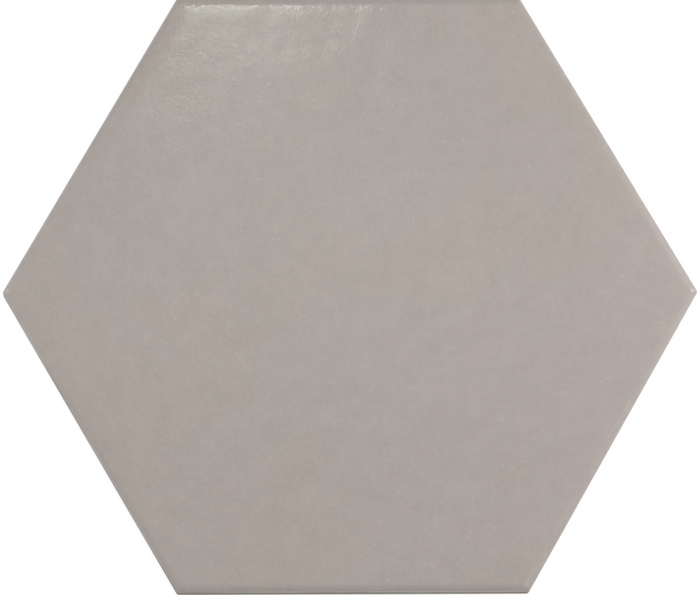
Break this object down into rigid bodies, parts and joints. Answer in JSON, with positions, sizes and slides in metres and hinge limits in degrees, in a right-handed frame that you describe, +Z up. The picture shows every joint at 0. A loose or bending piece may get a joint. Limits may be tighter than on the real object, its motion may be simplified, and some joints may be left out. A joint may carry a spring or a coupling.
{
  "type": "hexagon floor tile",
  "caption": "Six-sided glazed porcelain floor tile with softly rounded edges and a honeycomb key in its back, laid face up.",
  "frame": {"origin": "middle of the back plane, which the tile lies on", "axes": "+Z up through the glazed face; X through two opposite corners; Y square to two opposite sides"},
  "size_m": [0.2018, 0.175, 0.009],
  "materials": {
    "grey_glaze": "satin"
  },
  "bodies": {
    "root": {"hexagon_tile": "grey_glaze"}
  },
  "joints": []
}
